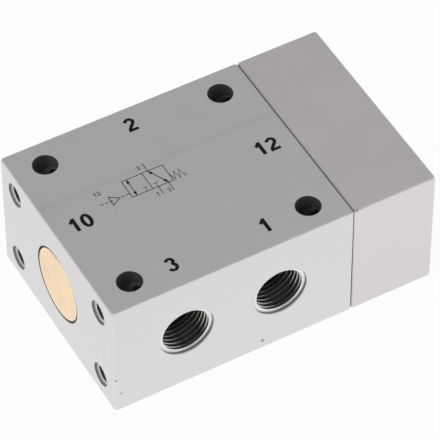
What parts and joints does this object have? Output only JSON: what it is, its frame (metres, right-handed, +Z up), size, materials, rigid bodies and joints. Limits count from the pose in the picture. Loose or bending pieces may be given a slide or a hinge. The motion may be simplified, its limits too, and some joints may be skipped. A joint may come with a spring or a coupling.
{
  "type": "air pilot valve",
  "caption": "Air-piloted three-port spool valve: rectangular aluminium block with threaded side ports, screwed-on pilot cap, brass end plug and spring-returned spool.",
  "frame": {"origin": "centre of the four vertical mounting holes, on the bottom face", "axes": "+X along the spool, from the brass plug towards the pilot cap; -Y out of the face with ports 3 and 1; +Y out of the face with port 2; +Z up, out of the printed top face"},
  "size_m": [0.062, 0.04, 0.025],
  "materials": {
    "body_aluminium": "fine milled, clear anodised",
    "cap_aluminium": "fine milled, clear anodised",
    "plug_brass": "turned, dulled",
    "screw_steel": "zinc plated",
    "seal_rubber": "moulded",
    "ring_acetal": "turned",
    "spring_steel": "drawn wire",
    "spool_aluminium": "turned and polished",
    "piston_aluminium": "turned"
  },
  "bodies": {
    "housing": {"valve_body": "body_aluminium", "pilot_cap": "cap_aluminium", "cap_face_seal": "seal_rubber", "cap_screws": "screw_steel", "end_plug": "plug_brass", "end_plug_seal": "seal_rubber", "guide_ring_10": "ring_acetal", "guide_ring_12": "ring_acetal", "flow_cage_1": "ring_acetal", "flow_cage_2": "ring_acetal", "flow_cage_3": "ring_acetal", "spool_seal_1": "seal_rubber", "spool_seal_2": "seal_rubber", "spool_seal_3": "seal_rubber", "spool_seal_4": "seal_rubber", "spring_seat": "ring_acetal", "return_spring": "spring_steel"},
    "spool": {"spool": "spool_aluminium"},
    "piston": {"pilot_piston": "piston_aluminium", "piston_seal": "seal_rubber"}
  },
  "joints": [
    {"name": "spool_slide", "type": "slide", "parent": "housing", "child": "spool", "axis": [-1, 0, 0], "range_m": [0, 0.005], "stiffness_N_per_m": 400, "springref_m": -0.001, "deforming": ["return_spring"]},
    {"name": "piston_slide", "type": "slide", "parent": "housing", "child": "piston", "axis": [-1, 0, 0], "range_m": [0, 0.005]}
  ],
  "couplings": [
    {"joint": "piston_slide", "follows": "spool_slide", "ratio": 1}
  ]
}
